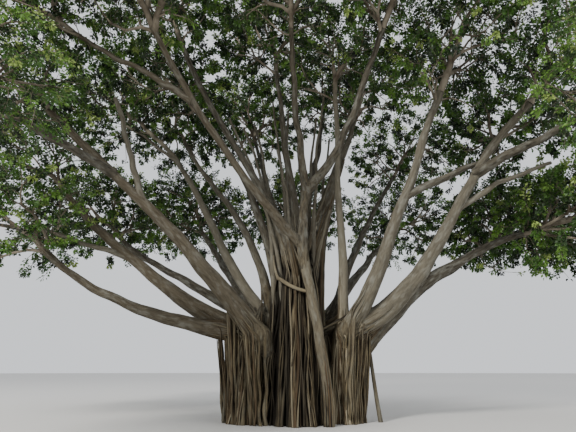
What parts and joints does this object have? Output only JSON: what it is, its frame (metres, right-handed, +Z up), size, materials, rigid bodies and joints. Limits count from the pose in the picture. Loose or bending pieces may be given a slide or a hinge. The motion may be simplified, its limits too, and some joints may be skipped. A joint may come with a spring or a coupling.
{
  "type": "banyan fig tree",
  "caption": "Wide banyan fig: a broad trunk of fused aerial roots, long boughs that fan out low down, hanging prop roots and a domed evergreen crown.",
  "frame": {"origin": "middle of the flat cut at ground level, under the trunk", "axes": "+Z up, +Y away from a viewer at the front, +X to that viewer's right"},
  "size_m": [28.8575, 25.2229, 18.3901],
  "materials": {
    "root_bark": "pale, ropy bark of fused aerial roots, matt",
    "bough_bark": "smooth grey-brown bark, matt",
    "foliage": "leathery dark green leaves on thin brown twigs, satin"
  },
  "bodies": {
    "root": {"trunk": "root_bark", "bough_left_low": "bough_bark", "bough_left_main": "bough_bark", "bough_left_rear": "bough_bark", "bough_left_front": "bough_bark", "bough_left_skirt": "bough_bark", "bough_pale_left": "bough_bark", "bough_high_left": "bough_bark", "bough_mid_left": "bough_bark", "bough_front_left": "bough_bark", "bough_front_left_fork": "bough_bark", "bough_dark_left": "bough_bark", "bough_centre_up": "bough_bark", "bough_centre_right": "bough_bark", "bough_rear_up": "bough_bark", "bough_fluted_right": "bough_bark", "bough_pale_up": "bough_bark", "bough_right_up": "bough_bark", "bough_right_up_fork": "bough_bark", "bough_right_main": "bough_bark", "bough_right_skirt": "bough_bark", "bough_right_low": "bough_bark", "bough_right_rear": "bough_bark", "bough_back_left": "bough_bark", "bough_back_mid": "bough_bark", "bough_back_right": "bough_bark", "bough_right_back_low": "bough_bark", "bough_back_top": "bough_bark", "bough_apex": "bough_bark", "prop_root_left": "root_bark", "prop_root_right": "root_bark", "foliage_left_low": "foliage", "foliage_left_main": "foliage", "foliage_left_rear": "foliage", "foliage_left_front": "foliage", "foliage_left_skirt": "foliage", "foliage_pale_left": "foliage", "foliage_high_left": "foliage", "foliage_mid_left": "foliage", "foliage_front_left": "foliage", "foliage_front_left_fork": "foliage", "foliage_dark_left": "foliage", "foliage_centre_up": "foliage", "foliage_centre_right": "foliage", "foliage_rear_up": "foliage", "foliage_fluted_right": "foliage", "foliage_pale_up": "foliage", "foliage_right_up": "foliage", "foliage_right_up_fork": "foliage", "foliage_right_main": "foliage", "foliage_right_skirt": "foliage", "foliage_right_low": "foliage", "foliage_right_rear": "foliage", "foliage_back_left": "foliage", "foliage_back_mid": "foliage", "foliage_back_right": "foliage", "foliage_right_back_low": "foliage", "foliage_back_top": "foliage", "foliage_apex": "foliage"}
  },
  "joints": []
}
